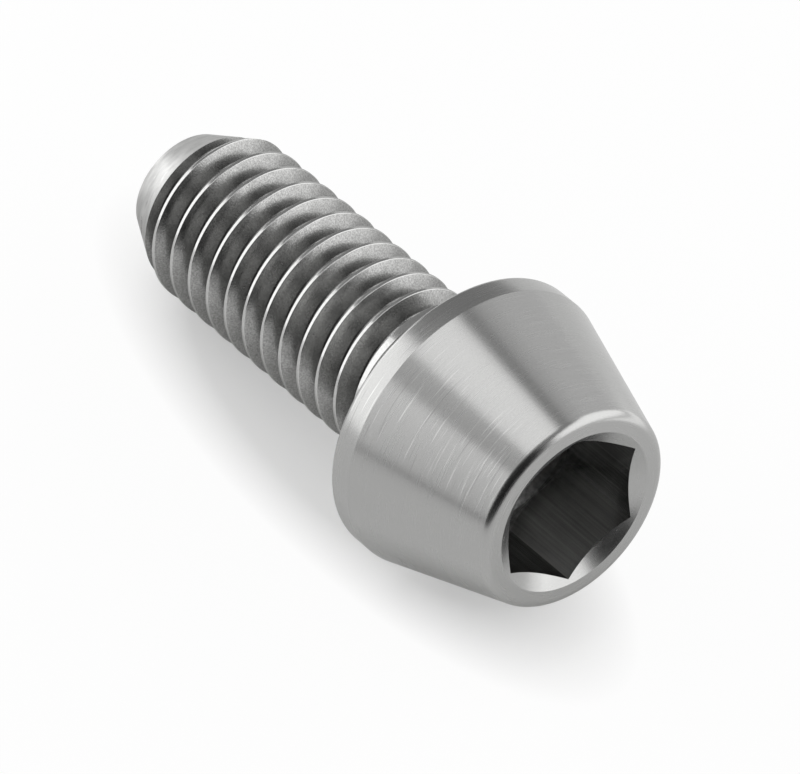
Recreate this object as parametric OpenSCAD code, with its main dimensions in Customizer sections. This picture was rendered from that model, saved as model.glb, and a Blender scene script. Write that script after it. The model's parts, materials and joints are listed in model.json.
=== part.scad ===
// Tapered head hex socket cap screw, M5 x 0.8 x 12, lying on the edge of its head and its thread.
// Lengths are in millimetres and angles in degrees.

/* [Head] */
// Diameter of the cylindrical band at the wide end of the head
head_d = 8.5; // [7.5:0.1:10]
// Height of the head from its bearing face to its front face
head_h = 5; // [4.4:0.1:7]
// Height of the wide end of the head, where the taper starts
band_h = 0.75; // [0.4:0.05:1.5]
// Diameter of the taper where it would meet the front face
head_front_d = 5.95; // [5.6:0.05:7.2]
// Radius round the front edge of the head
front_edge_r = 0.3; // [0.1:0.05:0.45]
// Radius round the edge of the bearing face
rim_edge_r = 0.15; // [0.05:0.05:0.3]

/* [Socket] */
// Width across the flats of the hexagon
socket_af = 4.04; // [3:0.01:4.4]
// Depth of the full hexagon below the front face
socket_h = 2.8; // [1.8:0.1:3.4]
// Diameter of the countersink at the front face
mouth_d = 4.9; // [4.5:0.05:5.2]
// Full angle of the countersink
mouth_angle = 120; // [90:5:130]
// Gap between the drilled hole and the flats that were broached round it
drill_gap = 0.04; // [0.02:0.01:0.2]
// Full angle of the drill point that is left below the hexagon
drill_angle = 130; // [110:5:150]
// Turn of the hexagon about the screw's own axis
socket_turn = 49; // [0:1:60]

/* [Shank] */
// Length from the bearing face to the tip
length = 12; // [9:0.5:25]
// Diameter over the crests of the thread
thread_d = 4.92; // [4.6:0.01:5.2]
// Pitch of the right-hand thread
pitch = 0.8; // [0.7:0.05:1]
// Width of the flat on each crest
crest_w = 0.1; // [0.08:0.01:0.16]
// Radius at the root of the thread
root_r = 0.115; // [0.06:0.005:0.15]
// Diameter of the plain neck, which keeps the size of the blank that the thread was rolled on
neck_d = 4.48; // [4.2:0.02:4.6]
// Length of the neck from the bearing face to the end of the thread
neck_h = 1.1; // [0.6:0.1:4]
// Turn of the thread at its end over which the groove runs out
runout_turn = 75; // [40:5:180]
// Distance from the bearing face to the first crest on the underside
crest_shift = 0.33; // [0.05:0.01:0.75]
// Diameter of the flat end at the tip
tip_d = 3.3; // [2.8:0.05:3.8]
// Length of the tapered point
point_h = 1.65; // [0.8:0.05:2.5]
// Radius of the fillet between the neck and the bearing face
fillet_r = 0.25; // [0.05:0.05:0.4]

/* [Hidden] */
// Facets on round surfaces
$fn = 96;
// Steps on each small round of the half section
round_steps = 8;
// How far a cut runs past the surface it leaves
past = 1;
// Radii of the main diameters
head_r = head_d / 2;
front_r = head_front_d / 2;
crest_r = thread_d / 2;
tip_r = tip_d / 2;
neck_r = neck_d / 2;
mouth_r = mouth_d / 2;
// Slope of the head's taper, in millimetres of radius for each of height
taper = (head_r - front_r) / (head_h - band_h);
// Angle between the front face's normal and the taper's normal
edge_turn = 90 - atan(taper);
// Radius at which the front edge's round starts on the front face
flat_r = front_r - front_edge_r * tan(edge_turn / 2);
// Length of the shank that carries the full diameter down to the point
point_z = length - point_h;
// Thread form: sixty degree flanks between a flat crest and a round root
flank = 30;
groove_w = pitch - crest_w;
root_centre_r = crest_r - groove_w / 2 / tan(flank) + root_r / sin(flank);
thread_depth = crest_r - root_centre_r + root_r;
// How far the groove's open side stands off the crests, short of the next turn
stand_off = crest_w / 4 / tan(flank);
// Steps along each turn of the groove, and round its root
turn_steps = 36;
root_steps = 4;
// The last whole crest on the underside, by its edge towards the tip
whole_crests = floor((point_z - crest_w / 2 - crest_shift) / pitch);
rest_z = crest_shift + whole_crests * pitch + crest_w / 2;
// The screw lies on the round of its rim and on that crest
rim_run = rest_z + rim_edge_r;
rim_drop = head_r - rim_edge_r - crest_r;
rest_tilt = atan2(rim_drop, rim_run) + asin(rim_edge_r / norm([rim_run, rim_drop]));
// Ends of the lying screw along X, and its lowest point below the axis at the bearing face
front_x = (head_h - front_edge_r) * cos(rest_tilt) + flat_r * sin(rest_tilt) + front_edge_r;
tip_x = length * cos(rest_tilt) + tip_r * sin(rest_tilt);
low_z = rest_z * sin(rest_tilt) + crest_r * cos(rest_tilt);

screw();

// Screw laid at rest, with the middle of its footprint at the origin
module screw() {
    color("silver")
        translate([(tip_x - front_x) / 2, 0, low_z])
            rotate([0, 90 - rest_tilt, 0])
                turned_screw();
}

// Screw on its own axis, bearing face at zero and head upwards
module turned_screw() {
    difference() {
        rotate_extrude() half_section();
        hex_socket();
        thread_groove();
    }
}

// Points of a round about a centre, from one angle to another
function round_points(centre, r, from, to) = [
    for (i = [0:round_steps]) let (a = from + (to - from) * i / round_steps)
        centre + r * [cos(a), sin(a)]
];

// Half section from the tip to the front face: point, crests, neck, bearing face, rim, band and taper
module half_section() {
    polygon(concat(
        [[0, -length], [tip_r, -length], [crest_r, -point_z], [crest_r, -neck_h - crest_r + neck_r]],
        [[neck_r, -neck_h]],
        round_points([neck_r + fillet_r, -fillet_r], fillet_r, 180, 90),
        round_points([head_r - rim_edge_r, rim_edge_r], rim_edge_r, -90, 0),
        [[head_r, band_h]],
        round_points([flat_r, head_h - front_edge_r], front_edge_r, 90 - edge_turn, 90),
        [[0, head_h]]
    ));
}

// Broached hexagon with its countersunk mouth and the point of the drill that came first
module hex_socket() {
    drill_r = socket_af / 2 - drill_gap;
    rotate(socket_turn)
        translate([0, 0, head_h - socket_h])
            linear_extrude(socket_h + past)
                circle(d = socket_af / cos(30), $fn = 6);
    rotate_extrude()
        polygon([
            [0, head_h - socket_h - drill_r / tan(drill_angle / 2)],
            [drill_r, head_h - socket_h],
            [drill_r, head_h - socket_h / 2],
            [0, head_h - socket_h / 2]
        ]);
    rotate_extrude()
        polygon([
            [0, head_h - mouth_r / tan(mouth_angle / 2)],
            [mouth_r + past * tan(mouth_angle / 2), head_h + past],
            [0, head_h + past]
        ]);
}

// Section of the groove as [radius, height] points, from its upper flank round the root to its lower one
function groove_section() = let (
    open_r = crest_r + stand_off,
    open_w = groove_w / 2 + stand_off * tan(flank)
) concat(
    [[open_r, open_w]],
    [for (i = [0:root_steps]) let (a = (90 - flank) * (1 - 2 * i / root_steps))
        [root_centre_r - root_r * cos(a), root_r * sin(a)]],
    [[open_r, -open_w]]
);

// Right-hand groove swept up the shank from below the tip, lifting out of the shank at its run-out
module thread_groove() {
    section = groove_section();
    count = len(section);
    // Enough turns to start below the tip, with the groove half a pitch above a crest on the underside
    low_turns = ceil(length / pitch) + 1;
    start_z = -crest_shift - low_turns * pitch + pitch / 2;
    steps = floor((-neck_h - start_z) / pitch * turn_steps);
    // Lift at which the whole section is clear of the crests
    lift = thread_depth + 2 * stand_off;
    points = [
        for (i = [0:steps]) let (
            angle = 360 * i / turn_steps,
            left = (steps - i) * 360 / turn_steps,
            out = lift * max(0, 1 - left / runout_turn)
        )
        for (p = section)
            [(p.x + out) * cos(angle), (p.x + out) * sin(angle), start_z + pitch * i / turn_steps + p.y]
    ];
    sides = [
        for (i = [0:steps - 1], j = [0:count - 1]) let (
            a = i * count + j,
            b = i * count + (j + 1) % count
        )
        each [[a, b, b + count], [a, b + count, a + count]]
    ];
    ends = [
        [for (j = [count - 1:-1:0]) j],
        [for (j = [0:count - 1]) steps * count + j]
    ];
    polyhedron(points, concat(sides, ends), convexity = 20);
}
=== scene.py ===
"""Tapered head cap screw of bare titanium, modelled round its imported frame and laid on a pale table."""
import json
import math

import bpy
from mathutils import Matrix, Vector


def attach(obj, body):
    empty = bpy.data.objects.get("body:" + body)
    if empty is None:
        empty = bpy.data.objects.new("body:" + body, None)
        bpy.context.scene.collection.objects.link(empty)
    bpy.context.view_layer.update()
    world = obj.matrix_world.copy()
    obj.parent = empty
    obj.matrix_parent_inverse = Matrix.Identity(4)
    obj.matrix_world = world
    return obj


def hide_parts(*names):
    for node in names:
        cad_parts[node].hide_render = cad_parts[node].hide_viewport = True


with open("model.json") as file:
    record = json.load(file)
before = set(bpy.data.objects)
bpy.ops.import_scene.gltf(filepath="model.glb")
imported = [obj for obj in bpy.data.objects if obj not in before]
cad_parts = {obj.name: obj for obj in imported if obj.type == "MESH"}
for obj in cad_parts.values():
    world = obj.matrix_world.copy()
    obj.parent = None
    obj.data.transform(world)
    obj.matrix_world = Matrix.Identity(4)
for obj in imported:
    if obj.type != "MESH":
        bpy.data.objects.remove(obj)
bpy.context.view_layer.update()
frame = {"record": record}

bl_info = {
    "name": "Tapered Cap Screw",
    "version": (1, 0, 0),
    "blender": (4, 5, 0),
    "location": "View3D > Sidebar > Cap Screw",
    "description": "Turns, broaches and threads a tapered head cap screw and lays it on a table",
    "category": "Add Mesh",
}

# Metres in a millimetre
MM = 0.001

# The screw's own axis, from the middle of its flat tip to the middle of its front face
MOUNTS = {mount["name"]: mount for mount in frame["record"]["mounts"]}
TIP = Vector(MOUNTS["threaded_shank"]["pos_m"])
FRONT = Vector(MOUNTS["key_socket"]["pos_m"])
AXIS = (FRONT - TIP).normalized()
# Turn that lays a screw standing on Z along that axis
LAY_TURN = (0.0, math.acos(AXIS.z), 0.0)

# Sides of a round surface, and steps along each turn of the thread
ROUND_SIDES = 144
TURN_STEPS = 96
# Sides of the socket, and the angle from the middle of one to its end
HEX_SIDES = 6
HEX_HALF = math.radians(30)
# How far a cutting tool runs past the surface that it leaves
PAST = 1 * MM
# Angle between a flank of the thread and the plane across the axis
FLANK = math.radians(30)
# Lift at which the whole section of the groove is clear of the crests
RUNOUT_LIFT = 0.62 * MM
# Largest turn between the faces of one smooth surface
SMOOTH_ANGLE = math.radians(12)
# How near the middle of a face lies to the surface that it belongs to
TOUCH = 0.004 * MM
# Largest part of a wall's normal that lies along the axis
WALL_LEAN = 0.1

# Usual lows and highs of a noise pattern, which is drawn out from them to a wanted range
NOISE = (0.3, 0.7)
# Way from the screw's own axis to the side that has the scratches
SCRATCHED_SIDE = (math.cos(math.radians(219)), math.sin(math.radians(219)), 0)
# Distances from the axis in millimetres between which the flanks of the thread grow paler: painted shade,
# deepest at the root
DARK_RADIUS = 2.0
PALE_RADIUS = 2.42
# Part of the light at low angles that the thread and the point mirror: under 1, it keeps their outlines dark
THREAD_GRAZING = 0.65
POINT_GRAZING = 0.55
# The board fades to a painted white glow over an oval as long as the screw, a little to the side that the
# shadow falls on
FADE_SHIFT = (0, 0.55 * MM, 0)
FADE_SHAPE = (0.35, 1, 1)
# Flattening of the room's directions, which makes its dark part wider than it is high
DARK_SHAPE = (1, 1, 0.42)


def linear(hex_colour):
    """Linear colour of an sRGB hex value."""
    parts = [int(hex_colour[i:i + 2], 16) / 255 for i in (1, 3, 5)]
    return [p / 12.92 if p <= 0.04045 else ((p + 0.055) / 1.055) ** 2.4 for p in parts]


def size(name, description, millimetres):
    """Length property with its default in millimetres."""
    return bpy.props.FloatProperty(
        name=name, description=description, default=millimetres * MM, min=0, unit="LENGTH", precision=5
    )


def turn(name, description, degrees):
    """Angle property with its default in degrees."""
    return bpy.props.FloatProperty(
        name=name, description=description, default=math.radians(degrees), subtype="ANGLE"
    )


def share(name, description, part):
    """Property for a part of one."""
    return bpy.props.FloatProperty(
        name=name, description=description, default=part, min=0, max=1, subtype="FACTOR"
    )


def colour(name, description, hex_colour):
    """Colour property with its default as an sRGB hex value."""
    return bpy.props.FloatVectorProperty(
        name=name, description=description, default=linear(hex_colour), size=3, min=0, max=1, subtype="COLOR"
    )


class ScrewSizes(bpy.types.PropertyGroup):
    """Sizes of the screw on its own axis, with the bearing face at zero."""

    head_d: size("Head diameter", "Across the band at the wide end", 2 * MOUNTS["head_band"]["dims"]["r_mm"])
    head_h: size("Head height", "From the bearing face to the front face", 5)
    band_h: size("Band height", "From the bearing face to the start of the taper", 0.75)
    front_d: size("Front diameter", "Of the taper where it would meet the front face", 5.95)
    front_edge_r: size("Front edge radius", "Round the front edge of the head", 0.3)
    rim_edge_r: size("Rim edge radius", "Round the edge of the bearing face", 0.15)
    band_edge_r: size("Band edge radius", "Where the band turns into the taper", 0.06)
    socket_af: size("Socket width", "Across the flats of the hexagon", 4.04)
    socket_h: size("Socket depth", "Of the full hexagon below the front face", 2.8)
    mouth_d: size("Mouth diameter", "Of the countersink at the front face", 4.9)
    mouth_angle: turn("Mouth angle", "Full angle of the countersink", 120)
    drill_gap: size("Drill gap", "Between the drilled hole and the flats round it", 0.04)
    drill_angle: turn("Drill angle", "Full angle of the drill point below the hexagon", 130)
    socket_turn: turn("Socket turn", "Of a corner of the hexagon from the underside", 49)
    length: size("Length", "From the bearing face to the tip", 12)
    thread_d: size("Thread diameter", "Over the crests", 4.92)
    pitch: size("Pitch", "Of the right-hand thread", 0.8)
    crest_w: size("Crest width", "Of the flat on each crest, between its rounded corners", 0.1)
    crest_edge_r: size("Crest corner radius", "Where the crest turns into the flank", 0.03)
    root_r: size("Root radius", "At the bottom of the groove", 0.115)
    neck_d: size("Neck diameter", "Of the plain neck", 2 * MOUNTS["plain_neck"]["dims"]["r_mm"])
    neck_h: size("Neck length", "From the bearing face to the end of the thread", 1.1)
    runout_turn: turn("Run-out", "Turn of the thread over which the groove rises out of the shank", 75)
    crest_shift: size("Crest place", "From the bearing face to the first crest on the underside", 0.33)
    tip_d: size("Tip diameter", "Of the flat end", 3.3)
    tip_edge_r: size("Tip edge radius", "Round the flat end", 0.06)
    point_h: size("Point length", "Of the tapered point", 1.65)
    fillet_r: size("Fillet radius", "Between the neck and the bearing face", 0.25)


class ScrewFinish(bpy.types.PropertyGroup):
    """Colours and marks of the bare metal."""

    metal: colour("Bare metal", "Turned faces of the head", "#a9a9a8")
    # The point's paler colour is painted light: it stands in for the brighter light that the point mirrors
    painted_pale_point: colour("Point metal painted pale", "Turned face of the point", "#d2d2d1")
    rolled: colour("Rolled metal", "Flanks and root of the thread", "#8f8f8e")
    burnished: colour("Burnished metal", "Crests of the thread", "#bcbcbb")
    broached: colour("Broached metal", "Walls of the socket", "#bdbdbc")
    drilled: colour("Drilled metal", "Bottom of the socket", "#929291")
    # Real tool lines and grit are a few hundredths of a millimetre wide or less. One pixel of the picture is
    # nearly three hundredths, so the finest of these patterns are drawn coarser to show.
    line_gap: size("Line spacing", "Of the lines that the lathe tool left", 0.05)
    line_depth: size("Line depth", "Of the lines that the lathe tool left", 0.0002)
    turned_grain: size("Turned grain", "Width of the grain on turned faces", 0.04)
    rolled_grain: size("Rolled grain", "Width of the sandy grain on the thread", 0.045)
    rolled_depth: size("Rolled grain depth", "Of the sandy grain on the thread", 0.0012)
    rolled_patch: size("Rolled patch", "Width of the paler and darker patches on the thread", 0.3)
    crest_grain: size("Crest grain", "Width of the grain on the crests", 0.08)
    broach_gap: size("Broach line spacing", "Of the lines down the socket's walls", 0.09)
    broach_depth: size("Broach line depth", "Of the lines down the socket's walls", 0.001)
    torn_grain: size("Torn grain", "Width of the grain at the socket's bottom", 0.12)


class TableSettings(bpy.types.PropertyGroup):
    """Table, camera, lamps and room."""

    board: colour("Table top", "Matt white board", "#f6f6f5")
    board_w: size("Table width", "Of the square table top", 1200)
    camera_turn: turn("Camera azimuth", "Round the object from its front", 51.419)
    camera_rise: turn("Camera elevation", "Above the table", 53.353)
    camera_away: size("Camera distance", "From the point that it looks at", 272.471)
    camera_aim: bpy.props.FloatVectorProperty(
        name="Camera aim", description="Point that the camera looks at", size=3, subtype="XYZ_LENGTH",
        default=(1.617 * MM, -0.549 * MM, 4.0 * MM), precision=5,
    )
    camera_lens: bpy.props.FloatProperty(
        name="Focal length", description="On a 36 mm wide sensor", default=461.58, min=1, unit="CAMERA"
    )
    lamp_away: size("Lamp distance", "From the screw to each soft box", 360)
    card_away: size("Card distance", "From the screw to each low card", 20)
    fade_from: size("Fade start", "Where the board starts to fade to white, across the screw", 2.4)
    fade_to: size("Fade end", "Where the board is almost white, across the screw", 3.8)
    near_white: share("Near white", "Part of plain white in the board beside the screw", 0.32)
    far_white: share("Far white", "Part of plain white in the board away from the screw", 0.95)
    mirror_from: size("Mirrored fade start", "Where the board that the metal mirrors starts to fade", 3.5)
    mirror_to: size("Mirrored fade end", "Where the board that the metal mirrors has faded", 6.2)
    mirror_white: share("Mirrored white", "Part of plain white in the far board that the metal mirrors", 0.65)
    room_level: share("Room level", "Light of the room against white", 0.33)
    dark_level: share("Dark level", "Light of the room's dark part against white", 0.015)
    dark_turn: turn("Dark azimuth", "Middle of the room's dark part", 47)
    dark_from: turn("Dark edge", "From the middle of the dark part to where it starts", 56)
    dark_to: turn("Dark heart", "From the middle of the dark part to where it is darkest", 51)


def start_clean():
    """Leaves edit mode and drops the selection, so that the next operator meets only what it makes."""
    if bpy.context.object and bpy.context.object.mode != "OBJECT":
        bpy.ops.object.mode_set(mode="OBJECT")
    bpy.ops.object.select_all(action="DESELECT")


def pick(piece):
    """Makes a piece the only selected and active one."""
    start_clean()
    piece.select_set(True)
    bpy.context.view_layer.objects.active = piece


def arc(centre, radius, start, end, steps):
    """Points of a round in the half section, as (radius, height) pairs, between two angles in radians."""
    turns = [start + (end - start) * i / steps for i in range(steps + 1)]
    return [(centre[0] + radius * math.cos(t), centre[1] + radius * math.sin(t)) for t in turns]


def turn_on_lathe(name, outline, sides=ROUND_SIDES):
    """Solid of revolution: a disc at the first point of the outline, drawn out ring by ring to the last."""
    start_clean()
    last_r, last_z = outline[0]
    bpy.ops.mesh.primitive_circle_add(vertices=sides, radius=last_r, fill_type="NGON")
    piece = bpy.context.object
    piece.name = name
    bpy.ops.object.mode_set(mode="EDIT")
    bpy.ops.mesh.select_all(action="SELECT")
    bpy.ops.transform.translate(value=(0, 0, last_z))
    for ring_r, ring_z in outline[1:]:
        bpy.ops.mesh.extrude_region_move(TRANSFORM_OT_translate={"value": (0, 0, ring_z - last_z)})
        if ring_r == 0:
            bpy.ops.mesh.merge(type="CENTER")
        else:
            scale = ring_r / last_r
            bpy.ops.transform.resize(value=(scale, scale, 1), center_override=(0, 0, ring_z))
        last_r, last_z = ring_r, ring_z
    bpy.ops.mesh.select_all(action="SELECT")
    bpy.ops.mesh.normals_make_consistent(inside=False)
    bpy.ops.object.mode_set(mode="OBJECT")
    return piece


def screw_outline(sizes):
    """Half section of the blank from the tip to the front face."""
    head_r, front_r, crest_r = sizes.head_d / 2, sizes.front_d / 2, sizes.thread_d / 2
    neck_r, tip_r = sizes.neck_d / 2, sizes.tip_d / 2
    edge_r, rim_r, fillet_r = sizes.front_edge_r, sizes.rim_edge_r, sizes.fillet_r
    band_r = sizes.band_edge_r
    lean = math.atan2(head_r - front_r, sizes.head_h - sizes.band_h)
    flat_r = front_r - edge_r * math.tan((math.pi / 2 - lean) / 2)
    point_z = -sizes.length + sizes.point_h
    point_lean = math.atan2(crest_r - tip_r, sizes.point_h)
    # The flat end's edge is broken by a small round that touches the end and the point
    break_r = sizes.tip_edge_r
    break_x = tip_r - break_r * math.tan((math.pi / 2 - point_lean) / 2)
    band_z = sizes.band_h - band_r * math.tan(lean / 2)
    right = math.pi / 2
    return [
        *arc((break_x, -sizes.length + break_r), break_r, -right, -point_lean, steps=6),
        (crest_r, point_z),
        (crest_r, -sizes.neck_h - crest_r + neck_r),
        (neck_r, -sizes.neck_h),
        *arc((neck_r + fillet_r, -fillet_r), fillet_r, 2 * right, right, steps=10),
        *arc((head_r - rim_r, rim_r), rim_r, -right, 0, steps=10),
        *arc((head_r - band_r, band_z), band_r, 0, lean, steps=4),
        *arc((flat_r, sizes.head_h - edge_r), edge_r, lean, right, steps=10),
    ]


def cut(piece, tool):
    """Cuts a tool's solid out of a piece and clears the tool away."""
    faces = len(piece.data.polygons)
    pick(piece)
    bpy.ops.object.modifier_add(type="BOOLEAN")
    modifier = piece.modifiers[-1]
    modifier.operation = "DIFFERENCE"
    modifier.solver = "MANIFOLD"
    modifier.object = tool
    bpy.ops.object.modifier_apply(modifier=modifier.name)
    name = tool.name
    pick(tool)
    bpy.ops.object.delete()
    if len(piece.data.polygons) == faces:
        raise RuntimeError(name + " cut nothing")


def cut_socket(screw, sizes):
    """Drills the head, broaches the hexagon and countersinks its mouth, in that order."""
    floor_z = sizes.head_h - sizes.socket_h
    past_z = sizes.head_h + PAST
    drill_r = sizes.socket_af / 2 - sizes.drill_gap
    drill_point = drill_r / math.tan(sizes.drill_angle / 2)
    drill = turn_on_lathe("drill", [(drill_r, past_z), (drill_r, floor_z), (0, floor_z - drill_point)])
    corner_r = sizes.socket_af / 2 / math.cos(HEX_HALF)
    broach = turn_on_lathe("broach", [(corner_r, floor_z), (corner_r, past_z)], HEX_SIDES)
    # The lathe starts its rings on Y, so a corner stands there
    broach.rotation_euler.z = sizes.socket_turn - math.pi / 2
    mouth_slope = math.tan(sizes.mouth_angle / 2)
    mouth_r = sizes.mouth_d / 2
    countersink = turn_on_lathe(
        "countersink", [(mouth_r + PAST * mouth_slope, past_z), (0, sizes.head_h - mouth_r / mouth_slope)]
    )
    for tool in (drill, broach, countersink):
        cut(screw, tool)


def groove_section(sizes):
    """Section of the groove from its upper lip over the root to its lower lip, as (radius, height) pairs."""
    crest_r = sizes.thread_d / 2
    half_w = (sizes.pitch - sizes.crest_w) / 2
    root_centre = crest_r - half_w / math.tan(FLANK) + sizes.root_r / math.sin(FLANK)
    # Each lip is a round that leaves the flank and meets the crest almost level
    lip_r = sizes.crest_edge_r
    lip_end = math.radians(12)
    lip_x = crest_r - lip_r * math.cos(lip_end)
    lip_z = half_w - (crest_r - lip_x) * math.tan(FLANK) + lip_r / math.cos(FLANK)
    upper = arc((lip_x, lip_z), lip_r, -lip_end, -(math.pi / 2 - FLANK), steps=5)
    root = arc((root_centre, 0), sizes.root_r, math.pi / 2 + FLANK, math.pi * 3 / 2 - FLANK, steps=14)
    lower = [(r, -z) for r, z in reversed(upper)]
    # Above the crest the section closes over the groove, short of the next turn's
    clear = 0.03 * MM
    open_z = upper[0][1] + clear / 2
    return [(crest_r + clear, open_z), *upper, *root, *lower, (crest_r + clear, -open_z)]


def sweep_groove(sizes):
    """Groove of the thread as a solid: its section swept up the shank and lifted out at the run-out."""
    start_clean()
    section = groove_section(sizes)
    turns_below = math.ceil(sizes.length / sizes.pitch) + 1
    start_z = -sizes.crest_shift - turns_below * sizes.pitch + sizes.pitch / 2
    all_turns = (-sizes.neck_h - start_z) / sizes.pitch
    run_turns = all_turns - sizes.runout_turn / (2 * math.pi)
    # A small ring drawn together to one point starts the section
    bpy.ops.mesh.primitive_circle_add(vertices=3, radius=sizes.root_r)
    groove = bpy.context.object
    groove.name = "groove"
    bpy.ops.object.mode_set(mode="EDIT")
    bpy.ops.mesh.select_all(action="SELECT")
    bpy.ops.mesh.merge(type="CENTER")
    last_r, last_z = section[0]
    bpy.ops.transform.translate(value=(last_r, 0, start_z + last_z))
    for point_r, point_z in section[1:]:
        step = (point_r - last_r, 0, point_z - last_z)
        bpy.ops.mesh.extrude_vertices_move(TRANSFORM_OT_translate={"value": step})
        last_r, last_z = point_r, point_z
    bpy.ops.object.mode_set(mode="OBJECT")
    for vertex in groove.data.vertices:
        vertex.select = vertex.index in (0, len(section) - 1)
    bpy.ops.object.mode_set(mode="EDIT")
    bpy.ops.mesh.edge_face_add()
    bpy.ops.object.mode_set(mode="OBJECT")
    bpy.ops.object.modifier_add(type="SCREW")
    modifier = groove.modifiers[-1]
    modifier.angle = 2 * math.pi * run_turns
    modifier.screw_offset = sizes.pitch * run_turns
    modifier.steps = round(TURN_STEPS * run_turns)
    modifier.render_steps = modifier.steps
    bpy.ops.object.modifier_apply(modifier=modifier.name)
    lift_runout(groove, sizes, len(section), start_z + sizes.pitch * run_turns, 2 * math.pi * run_turns)
    return groove


def lift_runout(groove, sizes, count, end_z, end_turn):
    """Closes both ends of the groove and draws the upper one on along the helix while it rises."""
    bpy.ops.object.mode_set(mode="EDIT")
    bpy.ops.mesh.select_mode(type="VERT")
    bpy.ops.mesh.select_all(action="DESELECT")
    bpy.ops.mesh.select_non_manifold(extend=False)
    bpy.ops.mesh.fill_holes(sides=0)
    bpy.ops.mesh.select_mode(type="FACE")
    bpy.ops.mesh.select_all(action="DESELECT")
    bpy.ops.object.mode_set(mode="OBJECT")
    caps = [face for face in groove.data.polygons if len(face.vertices) == count]
    if len(caps) != 2:
        raise RuntimeError("the groove should have two ends")
    top = max(caps, key=lambda face: face.center.z)
    top.select = True
    bpy.ops.object.mode_set(mode="EDIT")
    steps = round(TURN_STEPS * sizes.runout_turn / (2 * math.pi))
    one_turn = sizes.runout_turn / steps
    rise = sizes.pitch * one_turn / (2 * math.pi)
    for i in range(steps):
        turned = end_turn + one_turn * (i + 1)
        out = Vector((math.cos(turned), math.sin(turned), 0)) * RUNOUT_LIFT / steps
        bpy.ops.mesh.extrude_region_move(TRANSFORM_OT_translate={"value": (0, 0, rise)})
        # With no window this operator turns the other way, so a turn forwards has a minus here
        bpy.ops.transform.rotate(value=-one_turn, orient_axis="Z", center_override=(0, 0, end_z))
        bpy.ops.transform.translate(value=out)
    bpy.ops.mesh.select_all(action="SELECT")
    bpy.ops.mesh.normals_make_consistent(inside=False)
    bpy.ops.object.mode_set(mode="OBJECT")


def add_node(tree, kind, inputs=(), **settings):
    """Adds a node with its settings, and fills its inputs, by name or in order.

    An input is a value, another node's socket or another node, which stands for its first output.
    """
    node = tree.nodes.new(kind)
    for name, value in settings.items():
        setattr(node, name, value)
    named = inputs.items() if isinstance(inputs, dict) else enumerate(inputs)
    for name, value in named:
        if isinstance(value, bpy.types.Node):
            value = value.outputs[0]
        if isinstance(value, bpy.types.NodeSocket):
            tree.links.new(value, node.inputs[name])
        else:
            node.inputs[name].default_value = value
    return node


def new_material(name):
    """Empty material with its node tree."""
    material = bpy.data.materials.new(name)
    material.use_nodes = True
    material.node_tree.nodes.clear()
    return material, material.node_tree


def lie_along(tree, bearing):
    """Place on the screw's own axis in millimetres: the point, its radius, its way round and its height.

    The height drops with the radius, so that lines which follow it are rings on level faces too.
    """
    place = add_node(tree, "ShaderNodeTexCoord").outputs["Object"]
    own = add_node(
        tree, "ShaderNodeMapping",
        {"Vector": place, "Location": bearing, "Rotation": LAY_TURN, "Scale": (MM, MM, MM)},
        vector_type="TEXTURE",
    )
    level = add_node(tree, "ShaderNodeVectorMath", [own, (1, 1, 0)], operation="MULTIPLY")
    radius = add_node(tree, "ShaderNodeVectorMath", [level], operation="LENGTH").outputs["Value"]
    round_way = add_node(tree, "ShaderNodeVectorMath", [level], operation="NORMALIZE")
    height = add_node(tree, "ShaderNodeSeparateXYZ", [own]).outputs["Z"]
    along = add_node(tree, "ShaderNodeMath", [height, radius], operation="SUBTRACT")
    return {"place": place, "own": own, "radius": radius, "round": round_way, "along": along}


def add_lines(tree, lie, gap, lengths):
    """Noise drawn out round the axis into lines, by their spacing in millimetres and lengths to a radian."""
    turned = add_node(tree, "ShaderNodeVectorMath", {0: lie["round"], "Scale": lengths}, operation="SCALE")
    spaced = add_node(tree, "ShaderNodeMath", [lie["along"], 1 / gap], operation="MULTIPLY")
    lifted = add_node(tree, "ShaderNodeCombineXYZ", {"Z": spaced})
    place = add_node(tree, "ShaderNodeVectorMath", [turned, lifted], operation="ADD")
    return add_node(tree, "ShaderNodeTexNoise", {"Vector": place, "Scale": 1, "Detail": 3})


def speckle(tree, own, grain, low, high):
    """Even grain of a width in metres, as a factor between two values."""
    noise = add_node(tree, "ShaderNodeTexNoise", {"Vector": own, "Scale": MM / grain, "Detail": 2})
    return add_node(tree, "ShaderNodeMapRange", [noise, *NOISE, low, high])


def turned_titanium(finish, bearing):
    """Bare titanium as it leaves the lathe: satin grey, with faint lines round the axis and scratches."""
    return turn_finish(
        "turned_titanium", finish, bearing,
        metal=finish.metal, roughness=0.26, contrast=0.015, feed=1, grazing=1,
    )


def pointed_titanium(finish, bearing):
    """Titanium of the point, turned at a coarser feed: duller, with plain lines round the axis; its paler
    colour is painted light, standing in for the brighter reflections on the point.
    """
    return turn_finish(
        "pointed_titanium", finish, bearing,
        # The paler colour of the point is painted light
        metal=finish.painted_pale_point, roughness=0.3, contrast=0.16, feed=2, grazing=POINT_GRAZING,
    )


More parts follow.
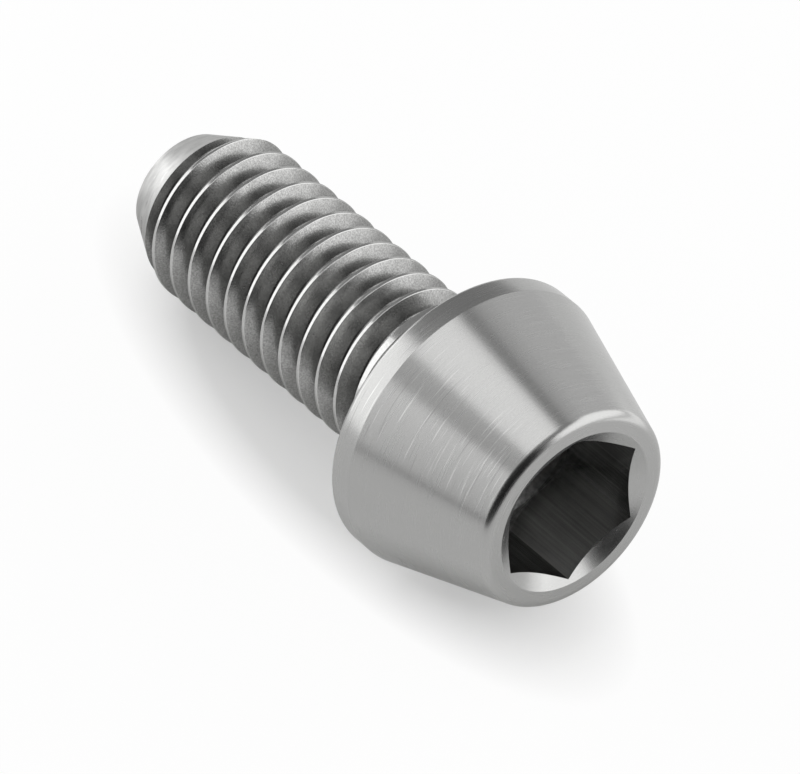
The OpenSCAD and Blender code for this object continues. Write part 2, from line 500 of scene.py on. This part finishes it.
def turn_finish(name, finish, bearing, metal, roughness, contrast, feed, grazing):
    """Finish of a turned face: contrast is how plainly its lines show, and feed how far apart they lie."""
    material, tree = new_material(name)
    lie = lie_along(tree, bearing)
    gap = finish.line_gap / MM * feed
    fine = add_lines(tree, lie, gap, lengths=3)
    marks = add_lines(tree, lie, 1.2 * gap, lengths=2)
    # The few marks that stand far out of their noise are scratches, pale or dark
    pale = add_node(tree, "ShaderNodeMapRange", [marks, 0.62, 0.69, 0, 0.3])
    dark = add_node(tree, "ShaderNodeMapRange", [marks, 0.35, 0.3, 0, -0.22])
    scratches = add_node(tree, "ShaderNodeMath", [pale, dark], operation="ADD")
    # Most of them lie on the side that a tool slid along, within about thirty degrees
    side = add_node(tree, "ShaderNodeVectorMath", [lie["round"], SCRATCHED_SIDE], operation="DOT_PRODUCT")
    strength = add_node(tree, "ShaderNodeMapRange", [side.outputs["Value"], 0.87, 0.97, 0.06, 1])
    scratched = add_node(tree, "ShaderNodeMath", [scratches, strength, 1], operation="MULTIPLY_ADD")
    lines = add_node(tree, "ShaderNodeMapRange", [fine, *NOISE, 1 - contrast, 1 + contrast])
    lined = add_node(tree, "ShaderNodeMath", [scratched, lines], operation="MULTIPLY")
    grain = speckle(tree, lie["own"], finish.turned_grain, 0.97, 1.03)
    tone = add_node(tree, "ShaderNodeMath", [lined, grain], operation="MULTIPLY")
    base = add_node(tree, "ShaderNodeVectorMath", {0: metal, "Scale": tone}, operation="SCALE")
    satin = add_node(tree, "ShaderNodeMapRange", [fine, *NOISE, roughness - 0.02, roughness + 0.02])
    # The tangent runs round the axis, along the lines, and a quarter turn draws light out across them
    from_axis = add_node(tree, "ShaderNodeVectorMath", [lie["place"], bearing], operation="SUBTRACT")
    round_axis = add_node(tree, "ShaderNodeVectorMath", [AXIS, from_axis], operation="CROSS_PRODUCT")
    bump = {"Height": fine, "Strength": 1, "Distance": finish.line_depth}
    shader = add_node(
        tree, "ShaderNodeBsdfPrincipled",
        {
            "Base Color": base,
            "Metallic": 1,
            "Roughness": satin,
            "Specular Tint": (grazing, grazing, grazing, 1),
            "Anisotropic": 0.5,
            "Anisotropic Rotation": 0.25,
            "Tangent": round_axis,
            "Normal": add_node(tree, "ShaderNodeBump", bump),
        },
    )
    add_node(tree, "ShaderNodeOutputMaterial", [shader])
    return material


def rolled_titanium(finish, bearing):
    """Titanium pressed into a thread by rolls: sandy and dull, and darker towards the root of the groove, as
    painted shade.
    """
    material, tree = new_material("rolled_titanium")
    lie = lie_along(tree, bearing)
    noise = {"Vector": lie["own"], "Scale": MM / finish.rolled_grain, "Detail": 1}
    grain = add_node(tree, "ShaderNodeTexNoise", noise)
    sandy = add_node(tree, "ShaderNodeMapRange", [grain, *NOISE, 0.76, 1.24])
    patches = speckle(tree, lie["own"], finish.rolled_patch, 0.95, 1.05)
    # Painted shade: the colour darkens towards the root of the groove, where shade falls between the flanks
    painted_root_shade = add_node(tree, "ShaderNodeMapRange", [lie["radius"], DARK_RADIUS, PALE_RADIUS, 0.86, 1.16])
    patched = add_node(tree, "ShaderNodeMath", [patches, sandy], operation="MULTIPLY")
    tone = add_node(tree, "ShaderNodeMath", [patched, painted_root_shade], operation="MULTIPLY")
    base = add_node(tree, "ShaderNodeVectorMath", {0: finish.rolled, "Scale": tone}, operation="SCALE")
    bump = {"Height": grain, "Strength": 1, "Distance": finish.rolled_depth}
    shader = add_node(
        tree, "ShaderNodeBsdfPrincipled",
        {
            "Base Color": base,
            "Metallic": 1,
            "Roughness": speckle(tree, lie["own"], finish.rolled_patch, 0.28, 0.22),
            "Specular Tint": (THREAD_GRAZING, THREAD_GRAZING, THREAD_GRAZING, 1),
            "Normal": add_node(tree, "ShaderNodeBump", bump),
        },
    )
    add_node(tree, "ShaderNodeOutputMaterial", [shader])
    return material


def burnished_titanium(finish, bearing):
    """Titanium rubbed bright on the crests of the thread, which show as pale lines."""
    material, tree = new_material("burnished_titanium")
    own = lie_along(tree, bearing)["own"]
    tone = speckle(tree, own, finish.crest_grain, 0.94, 1.04)
    base = add_node(tree, "ShaderNodeVectorMath", {0: finish.burnished, "Scale": tone}, operation="SCALE")
    shader = add_node(
        tree, "ShaderNodeBsdfPrincipled",
        {
            "Base Color": base,
            "Metallic": 1,
            "Roughness": speckle(tree, own, finish.crest_grain, 0.22, 0.18),
            "Specular Tint": (THREAD_GRAZING, THREAD_GRAZING, THREAD_GRAZING, 1),
        },
    )
    add_node(tree, "ShaderNodeOutputMaterial", [shader])
    return material


def broached_titanium(finish, bearing):
    """Titanium cut by a broach: dull walls with straight lines down the socket."""
    material, tree = new_material("broached_titanium")
    own = lie_along(tree, bearing)["own"]
    # Drawn out fifty times along the axis, the noise becomes lines
    drawn = add_node(tree, "ShaderNodeVectorMath", [own, (1, 1, 0.02)], operation="MULTIPLY")
    noise = {"Vector": drawn, "Scale": MM / finish.broach_gap, "Detail": 3}
    lines = add_node(tree, "ShaderNodeTexNoise", noise)
    tone = add_node(tree, "ShaderNodeMapRange", [lines, *NOISE, 0.7, 1.15])
    base = add_node(tree, "ShaderNodeVectorMath", {0: finish.broached, "Scale": tone}, operation="SCALE")
    bump = {"Height": lines, "Strength": 1, "Distance": finish.broach_depth}
    shader = add_node(
        tree, "ShaderNodeBsdfPrincipled",
        {
            "Base Color": base,
            "Metallic": 1,
            "Roughness": add_node(tree, "ShaderNodeMapRange", [lines, *NOISE, 0.12, 0.18]),
            "Normal": add_node(tree, "ShaderNodeBump", bump),
        },
    )
    add_node(tree, "ShaderNodeOutputMaterial", [shader])
    return material


def drilled_titanium(finish, bearing):
    """Titanium at the bottom of the socket, torn by the drill and the broach's chips: rough and dark."""
    material, tree = new_material("drilled_titanium")
    own = lie_along(tree, bearing)["own"]
    tone = speckle(tree, own, finish.torn_grain, 0.7, 1.2)
    base = add_node(tree, "ShaderNodeVectorMath", {0: finish.drilled, "Scale": tone}, operation="SCALE")
    shader = add_node(
        tree, "ShaderNodeBsdfPrincipled",
        {
            "Base Color": base,
            "Metallic": 1,
            "Roughness": speckle(tree, own, finish.torn_grain, 0.6, 0.45),
        },
    )
    add_node(tree, "ShaderNodeOutputMaterial", [shader])
    return material


# Finishes in the order of the screw's material slots
FINISHES = (
    turned_titanium,
    pointed_titanium,
    rolled_titanium,
    burnished_titanium,
    broached_titanium,
    drilled_titanium,
)


def finish_zone(face, sizes):
    """Slot of the finish that a face of the upright screw has."""
    height = face.center.z
    radius = face.center.xy.length
    if height > 0:
        corner_r = sizes.socket_af / 2 / math.cos(HEX_HALF)
        inside = radius < corner_r and height < sizes.head_h - TOUCH
        if inside and height < sizes.head_h - sizes.socket_h + TOUCH:
            return FINISHES.index(drilled_titanium)
        on_wall = inside and abs(face.normal.z) < WALL_LEAN
        return FINISHES.index(broached_titanium if on_wall else turned_titanium)
    point_slope = (sizes.thread_d - sizes.tip_d) / 2 / sizes.point_h
    above_tip = height + sizes.length
    point_r = sizes.tip_d / 2 + above_tip * point_slope
    if abs(radius - point_r) < TOUCH or above_tip < 2 * sizes.tip_edge_r:
        return FINISHES.index(pointed_titanium)
    if height > -sizes.neck_h:
        return FINISHES.index(turned_titanium)
    on_crest = radius > sizes.thread_d / 2 - sizes.crest_edge_r / 2
    return FINISHES.index(burnished_titanium if on_crest else rolled_titanium)


def matt_board(settings):
    """Matt white board: even and pale, with no gloss, fading away from the screw's shadow to a painted white
    glow, which lightens that cast shadow.
    """
    material, tree = new_material("matt_board")
    place = add_node(tree, "ShaderNodeTexCoord").outputs["Object"]
    moved = add_node(tree, "ShaderNodeVectorMath", [place, FADE_SHIFT], operation="ADD")
    oval = add_node(tree, "ShaderNodeVectorMath", [moved, FADE_SHAPE], operation="MULTIPLY")
    away = add_node(tree, "ShaderNodeVectorMath", [oval], operation="LENGTH").outputs["Value"]
    # Only what is seen fades to the painted white glow, by the camera or in the metal: the board lights the
    # screw as a plain board does
    path = add_node(tree, "ShaderNodeLightPath").outputs
    seen_fade = [away, settings.fade_from, settings.fade_to, settings.near_white, settings.far_white]
    in_view = add_node(tree, "ShaderNodeMapRange", seen_fade)
    # In the metal, the board beside the screw keeps its shade, and the painted glow comes in only farther
    # away
    mirrored_fade = [away, settings.mirror_from, settings.mirror_to, 0, settings.mirror_white]
    in_mirror = add_node(tree, "ShaderNodeMapRange", mirrored_fade)
    mirror_rays = [path["Is Glossy Ray"], path["Is Transmission Ray"]]
    mirrored = add_node(tree, "ShaderNodeMath", mirror_rays, operation="MAXIMUM")
    in_metal = add_node(tree, "ShaderNodeMath", [mirrored, in_mirror], operation="MULTIPLY")
    all_seen = [path["Is Camera Ray"], in_view, in_metal]
    fade = add_node(tree, "ShaderNodeMath", all_seen, operation="MULTIPLY_ADD")
    board = add_node(
        tree, "ShaderNodeBsdfPrincipled",
        {"Base Color": (*settings.board, 1), "Roughness": 0.9, "Specular IOR Level": 0},
    )
    # Painted white glow: an emission mixed into the board, which is no lamp
    white = add_node(tree, "ShaderNodeEmission", {"Color": (1, 1, 1, 1), "Strength": 1})
    mix = add_node(tree, "ShaderNodeMixShader", [fade, board, white])
    add_node(tree, "ShaderNodeOutputMaterial", [mix])
    return material


class CAPSCREW_OT_add_screw(bpy.types.Operator):
    """Model the screw at its real size, cut its socket and its thread and lay it in its place"""

    bl_idname = "capscrew.add_screw"
    bl_label = "Add Screw"

    def execute(self, context):
        sizes, finish = context.scene.screw_sizes, context.scene.screw_finish
        screw = turn_on_lathe("cap_screw", screw_outline(sizes))
        cut_socket(screw, sizes)
        cut(screw, sweep_groove(sizes))
        bearing = FRONT - AXIS * sizes.head_h
        screw.data.materials.clear()
        for make_finish in FINISHES:
            screw.data.materials.append(make_finish(finish, bearing))
        for face in screw.data.polygons:
            face.material_index = finish_zone(face, sizes)
        pick(screw)
        bpy.ops.object.shade_smooth_by_angle(angle=SMOOTH_ANGLE)
        bpy.ops.object.modifier_add(type="WEIGHTED_NORMAL")
        screw.modifiers[-1].keep_sharp = True
        bpy.ops.object.modifier_apply(modifier=screw.modifiers[-1].name)
        screw.rotation_euler = LAY_TURN
        screw.location = bearing
        bpy.ops.object.transform_apply(location=True, rotation=True, scale=True)
        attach(screw, "root")
        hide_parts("screw")
        return {"FINISHED"}


def toward(azimuth, elevation):
    """Direction from the object at an azimuth from its front and an elevation above the table, in radians."""
    level = math.cos(elevation)
    return Vector((math.sin(azimuth) * level, -math.cos(azimuth) * level, math.sin(elevation)))


def add_softbox(name, place, way, wide, high, level):
    """Soft box at a place, shining along a way, with its level against white."""
    start_clean()
    bpy.ops.object.light_add(type="AREA", location=place, rotation=way.to_track_quat("-Z", "Y").to_euler())
    lamp = bpy.context.object
    lamp.name = name
    lamp.data.shape = "RECTANGLE"
    lamp.data.size = wide
    lamp.data.size_y = high
    # This power makes a box of level 1 look as bright as plain white
    lamp.data.energy = level * math.pi * wide * high
    lamp.visible_camera = False


def stand_softbox(name, azimuth, wide, low, top, level, away):
    """Upright soft box at a distance, by its middle, its width and the elevations of its ends in degrees."""
    way = toward(math.radians(azimuth), 0)
    low_z, top_z = (away * math.tan(math.radians(edge)) for edge in (low, top))
    place = way * away + Vector((0, 0, (low_z + top_z) / 2))
    add_softbox(name, place, -way, 2 * away * math.tan(math.radians(wide) / 2), top_z - low_z, level)


def hang_softbox(name, azimuth, elevation, wide, high, level, away):
    """Soft box over the table that faces the screw, by its middle and its size in degrees."""
    way = toward(math.radians(azimuth), math.radians(elevation))
    wide, high = (2 * away * math.tan(math.radians(angle) / 2) for angle in (wide, high))
    add_softbox(name, way * away, -way, wide, high, level)


def light_screw(settings):
    """Soft boxes round the screw and over it, and two low cards beside it just outside the picture."""
    away, near = settings.lamp_away, settings.card_away
    stand_softbox("right_softbox", azimuth=147, wide=78, low=0, top=50, level=1.62, away=away)
    stand_softbox("back_softbox", azimuth=199, wide=26, low=0, top=54, level=0.48, away=away)
    stand_softbox("low_softbox", azimuth=272, wide=22, low=0, top=30, level=1.4, away=away)
    stand_softbox("near_softbox", azimuth=147, wide=60, low=0, top=12.5, level=0.75, away=near)
    stand_softbox("tip_softbox", azimuth=279, wide=21, low=0, top=12.5, level=0.55, away=near)
    stand_softbox("left_softbox", azimuth=303, wide=54, low=0, top=48, level=1.68, away=away)
    stand_softbox("front_softbox", azimuth=342, wide=27, low=3, top=51, level=1.2, away=away)
    hang_softbox("high_softbox", azimuth=330, elevation=61, wide=16, high=18, level=0.62, away=away)
    hang_softbox("top_softbox", azimuth=259, elevation=75, wide=37, high=32, level=1.47, away=away)


def light_room(settings):
    """Room round the table: dim grey, and dark on the camera's side."""
    world = bpy.data.worlds.new("room")
    bpy.context.scene.world = world
    world.use_nodes = True
    tree = world.node_tree
    tree.nodes.clear()
    place = add_node(tree, "ShaderNodeTexCoord").outputs["Generated"]
    flat = add_node(tree, "ShaderNodeVectorMath", [place, DARK_SHAPE], operation="MULTIPLY")
    way = add_node(tree, "ShaderNodeVectorMath", [flat], operation="NORMALIZE")
    dark_way = toward(settings.dark_turn, 0)
    facing = add_node(tree, "ShaderNodeVectorMath", [way, dark_way], operation="DOT_PRODUCT").outputs["Value"]
    edges = [math.cos(settings.dark_from), math.cos(settings.dark_to)]
    level = add_node(
        tree, "ShaderNodeMapRange", [facing, *edges, settings.room_level, settings.dark_level],
        interpolation_type="SMOOTHSTEP",
    )
    glow = add_node(tree, "ShaderNodeBackground", {"Color": (1, 1, 1, 1), "Strength": level})
    add_node(tree, "ShaderNodeOutputWorld", [glow])


class CAPSCREW_OT_set_table(bpy.types.Operator):
    """Set the table, the soft boxes and the camera round the screw"""

    bl_idname = "capscrew.set_table"
    bl_label = "Set Table"

    def execute(self, context):
        scene, settings = context.scene, context.scene.table_settings
        start_clean()
        bpy.ops.mesh.primitive_plane_add(size=settings.board_w)
        table = bpy.context.object
        table.name = "table"
        table.data.materials.append(matt_board(settings))
        light_room(settings)
        light_screw(settings)
        way = toward(settings.camera_turn, settings.camera_rise)
        start_clean()
        bpy.ops.object.camera_add(
            location=Vector(settings.camera_aim) + way * settings.camera_away,
            rotation=(-way).to_track_quat("-Z", "Y").to_euler(),
        )
        scene.camera = context.object
        scene.camera.data.sensor_width = 36
        scene.camera.data.lens = settings.camera_lens
        scene.camera.data.clip_start = 10 * MM
        scene.view_settings.view_transform = "Standard"
        return {"FINISHED"}


class CAPSCREW_PT_panel(bpy.types.Panel):
    """Sizes, finish and table of the screw"""

    bl_label = "Cap Screw"
    bl_idname = "CAPSCREW_PT_panel"
    bl_space_type = "VIEW_3D"
    bl_region_type = "UI"
    bl_category = "Cap Screw"

    def draw(self, context):
        layout = self.layout
        layout.operator(CAPSCREW_OT_add_screw.bl_idname)
        layout.operator(CAPSCREW_OT_set_table.bl_idname)
        for group in (context.scene.screw_sizes, context.scene.screw_finish, context.scene.table_settings):
            for name in group.__annotations__:
                layout.prop(group, name)


CLASSES = (
    ScrewSizes,
    ScrewFinish,
    TableSettings,
    CAPSCREW_OT_add_screw,
    CAPSCREW_OT_set_table,
    CAPSCREW_PT_panel,
)


def register():
    """Adds the classes and the scene's settings."""
    for one in CLASSES:
        bpy.utils.register_class(one)
    bpy.types.Scene.screw_sizes = bpy.props.PointerProperty(type=ScrewSizes)
    bpy.types.Scene.screw_finish = bpy.props.PointerProperty(type=ScrewFinish)
    bpy.types.Scene.table_settings = bpy.props.PointerProperty(type=TableSettings)


def unregister():
    """Takes the settings and the classes away again."""
    del bpy.types.Scene.table_settings
    del bpy.types.Scene.screw_finish
    del bpy.types.Scene.screw_sizes
    for one in reversed(CLASSES):
        bpy.utils.unregister_class(one)


def main():
    """Makes the screw and its table."""
    register()
    bpy.ops.capscrew.add_screw()
    bpy.ops.capscrew.set_table()


if __name__ == "__main__":
    main()
